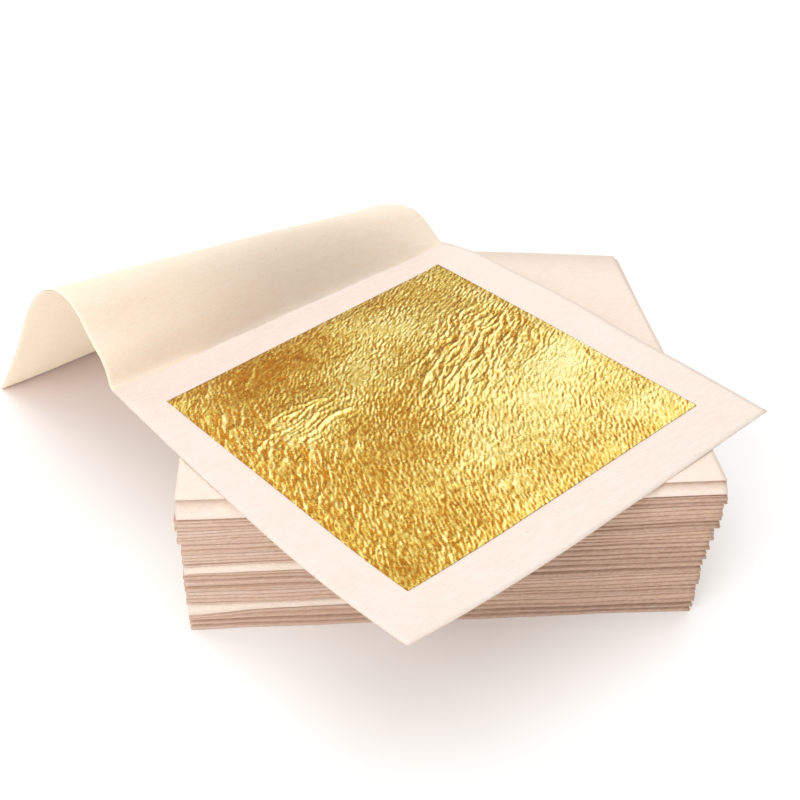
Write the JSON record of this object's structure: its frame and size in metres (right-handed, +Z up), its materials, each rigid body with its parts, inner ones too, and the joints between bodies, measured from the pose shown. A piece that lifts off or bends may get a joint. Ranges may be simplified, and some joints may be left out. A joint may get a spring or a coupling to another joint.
{
  "type": "gold leaf booklet",
  "caption": "Pile of folded tissue pages that hold gold leaves, with the top page laid open across it, its leaf bare and its other half curled back.",
  "frame": {"origin": "centre of the pile's bottom face, on the table", "axes": "+X along the folds at the pile's front, to the right; +Y from the folded front to the open back; +Z up"},
  "size_m": [0.1859, 0.209, 0.0554],
  "materials": {
    "tissue_paper": "matte",
    "gold_leaf": "satin"
  },
  "bodies": {
    "booklet_01": {"booklet_01_leaves": "gold_leaf", "booklet_01_pages": "tissue_paper"},
    "booklet_02": {"booklet_02_leaves": "gold_leaf", "booklet_02_pages": "tissue_paper"},
    "booklet_03": {"booklet_03_leaves": "gold_leaf", "booklet_03_pages": "tissue_paper"},
    "booklet_04": {"booklet_04_leaves": "gold_leaf", "booklet_04_pages": "tissue_paper"},
    "booklet_05": {"booklet_05_leaves": "gold_leaf", "booklet_05_pages": "tissue_paper"},
    "booklet_06": {"booklet_06_leaves": "gold_leaf", "booklet_06_pages": "tissue_paper"},
    "booklet_07": {"booklet_07_leaves": "gold_leaf", "booklet_07_pages": "tissue_paper"},
    "booklet_08": {"booklet_08_leaves": "gold_leaf", "booklet_08_pages": "tissue_paper"},
    "booklet_09": {"booklet_09_leaves": "gold_leaf", "booklet_09_pages": "tissue_paper"},
    "booklet_10": {"booklet_10_leaves": "gold_leaf", "booklet_10_pages": "tissue_paper"},
    "booklet_11": {"booklet_11_leaves": "gold_leaf", "booklet_11_pages": "tissue_paper"},
    "booklet_12": {"booklet_12_leaves": "gold_leaf", "booklet_12_pages": "tissue_paper"},
    "booklet_13": {"booklet_13_leaves": "gold_leaf", "booklet_13_pages": "tissue_paper"},
    "booklet_14": {"booklet_14_leaves": "gold_leaf", "booklet_14_pages": "tissue_paper"},
    "open_page": {"open_page_base": "tissue_paper"},
    "curled_page": {"open_page_flap": "tissue_paper"},
    "open_leaf": {"open_gold_leaf": "gold_leaf"}
  },
  "joints": [
    {"name": "booklet_02_pull", "type": "slide", "parent": "booklet_01", "child": "booklet_02", "axis": [0, -1, 0], "range_m": [0, 0.11]},
    {"name": "booklet_03_pull", "type": "slide", "parent": "booklet_01", "child": "booklet_03", "axis": [0, -1, 0], "range_m": [0, 0.11]},
    {"name": "booklet_04_pull", "type": "slide", "parent": "booklet_01", "child": "booklet_04", "axis": [0, -1, 0], "range_m": [0, 0.11]},
    {"name": "booklet_05_pull", "type": "slide", "parent": "booklet_01", "child": "booklet_05", "axis": [0, -1, 0], "range_m": [0, 0.11]},
    {"name": "booklet_06_pull", "type": "slide", "parent": "booklet_01", "child": "booklet_06", "axis": [0, -1, 0], "range_m": [0, 0.11]},
    {"name": "booklet_07_pull", "type": "slide", "parent": "booklet_01", "child": "booklet_07", "axis": [0, -1, 0], "range_m": [0, 0.11]},
    {"name": "booklet_08_pull", "type": "slide", "parent": "booklet_01", "child": "booklet_08", "axis": [0, -1, 0], "range_m": [0, 0.11]},
    {"name": "booklet_09_pull", "type": "slide", "parent": "booklet_01", "child": "booklet_09", "axis": [0, -1, 0], "range_m": [0, 0.11]},
    {"name": "booklet_10_pull", "type": "slide", "parent": "booklet_01", "child": "booklet_10", "axis": [0, -1, 0], "range_m": [0, 0.11]},
    {"name": "booklet_11_pull", "type": "slide", "parent": "booklet_01", "child": "booklet_11", "axis": [0, -1, 0], "range_m": [0, 0.11]},
    {"name": "booklet_12_pull", "type": "slide", "parent": "booklet_01", "child": "booklet_12", "axis": [0, -1, 0], "range_m": [0, 0.11]},
    {"name": "booklet_13_pull", "type": "slide", "parent": "booklet_01", "child": "booklet_13", "axis": [0, -1, 0], "range_m": [0, 0.11]},
    {"name": "booklet_14_pull", "type": "slide", "parent": "booklet_01", "child": "booklet_14", "axis": [0, -1, 0], "range_m": [0, 0.11]},
    {"name": "open_page_lift", "type": "slide", "parent": "booklet_01", "child": "open_page", "axis": [0, 0, 1], "range_m": [0, 0.08]},
    {"name": "curled_page_turn", "type": "hinge", "parent": "open_page", "child": "curled_page", "pos_m": [-0.03337, 0.02041, 0.03636], "axis": [-0.7782, -0.628, 0], "range_deg": [-70, 0]},
    {"name": "open_leaf_lift", "type": "slide", "parent": "open_page", "child": "open_leaf", "axis": [0, 0, 1], "range_m": [0, 0.06]}
  ]
}
